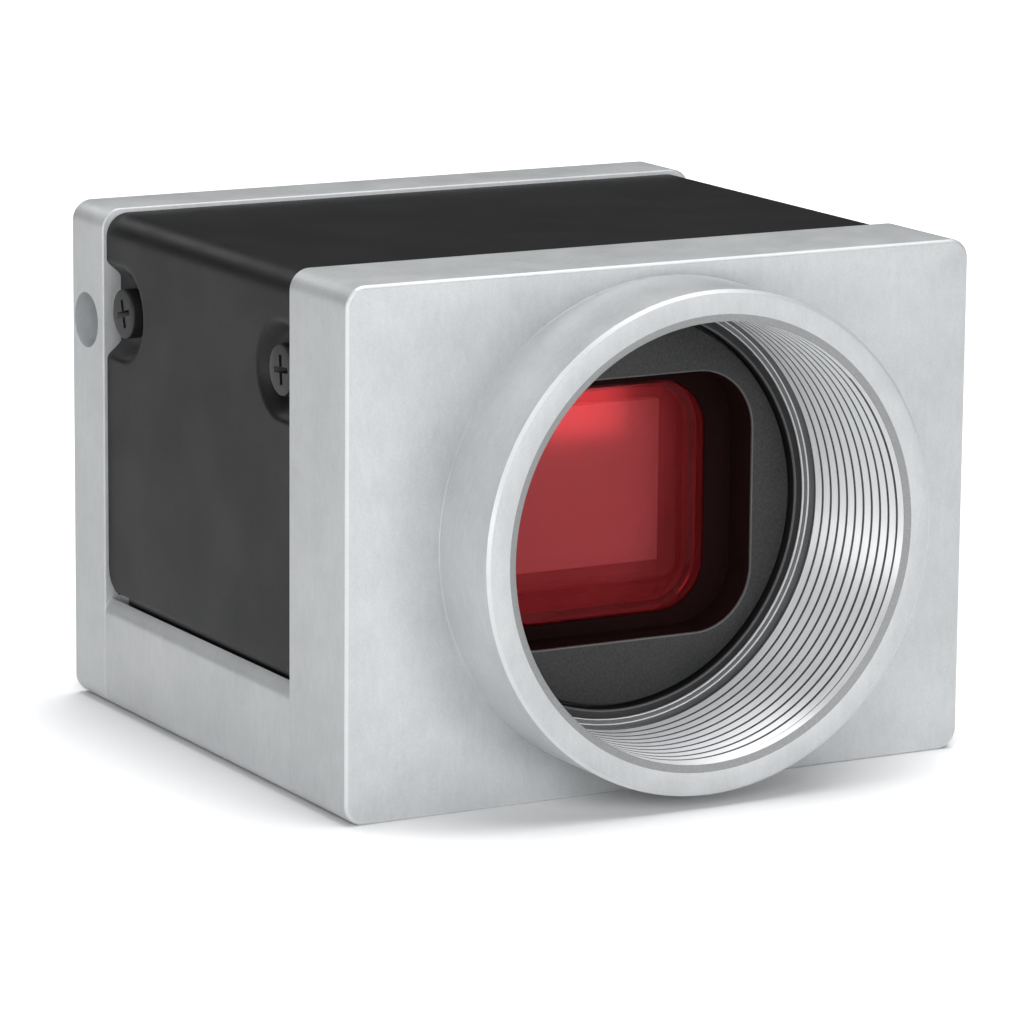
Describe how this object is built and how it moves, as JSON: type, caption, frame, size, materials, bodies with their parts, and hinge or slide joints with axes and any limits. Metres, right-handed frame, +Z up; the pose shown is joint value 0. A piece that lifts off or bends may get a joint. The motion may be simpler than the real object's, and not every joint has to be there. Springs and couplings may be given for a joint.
{
  "type": "machine vision camera",
  "caption": "Compact machine vision camera with an aluminium housing, a screw lens mount with a filter in front, a folded sheet cover, and data and power sockets at the rear.",
  "frame": {"origin": "middle of the underside, halfway along the whole length from the lens mount's face to the mouth of the round connector", "axes": "+X to the right when looking into the lens mount, +Y from the lens mount to the rear face, +Z up"},
  "size_m": [0.04, 0.0432, 0.03],
  "materials": {
    "satin_aluminium": "fine satin, bead blasted and clear anodised",
    "black_anodised": "fine matt black anodised",
    "black_plastic": "fine matt moulded",
    "filter_glass": "polished, with a red-reflecting coating",
    "clear_glass": "polished",
    "seal_rubber": "matt",
    "ceramic": "fired ceramic, half matt",
    "silicon": "polished silicon",
    "circuit_board": "green solder mask",
    "chip_resin": "moulded resin",
    "ceramic_capacitor": "fired ceramic with tinned ends",
    "ferrite": "pressed ferrite",
    "thermal_pad": "soft, matt",
    "plain_aluminium": "rolled, bare",
    "zinc_steel": "zinc plated",
    "black_screw": "black oxide",
    "nickel_shell": "satin nickel plated",
    "gold_contact": "gold flashed",
    "brass_standoff": "bright turned",
    "light_pipe": "clear, polished end",
    "led": "clear resin",
    "cover_paint": "fine matt dark grey powder paint"
  },
  "bodies": {
    "root": {"front_block": "satin_aluminium", "retaining_ring": "black_anodised", "filter_holder": "black_plastic", "ir_cut_filter": "filter_glass", "sensor_seal": "seal_rubber", "sensor_cover_glass": "clear_glass", "sensor_package": "ceramic", "sensor_die": "silicon", "sensor_board": "circuit_board", "board_standoffs": "brass_standoff", "sensor_board_connector": "black_plastic", "processor_front_connector": "black_plastic", "processor_board": "circuit_board", "processor_board_screws": "zinc_steel", "processor_chip": "chip_resin", "memory_chips": "chip_resin", "thermal_pad": "thermal_pad", "heat_spreader": "plain_aluminium", "spreader_screws": "zinc_steel", "processor_rear_connector": "black_plastic", "interface_connector": "black_plastic", "interface_board": "circuit_board", "interface_board_screws": "zinc_steel", "power_inductor": "ferrite", "clock_oscillator": "nickel_shell", "board_capacitors": "ceramic_capacitor", "status_led": "led", "status_light_pipe": "light_pipe", "data_connector_shell": "nickel_shell", "data_connector_insert": "black_plastic", "data_connector_contacts": "gold_contact", "io_connector_shell": "nickel_shell", "io_connector_insert": "black_plastic", "io_connector_pins": "gold_contact", "rear_plate": "satin_aluminium", "rear_plate_screws": "black_screw", "cover": "cover_paint", "cover_screws": "black_screw"}
  },
  "joints": []
}
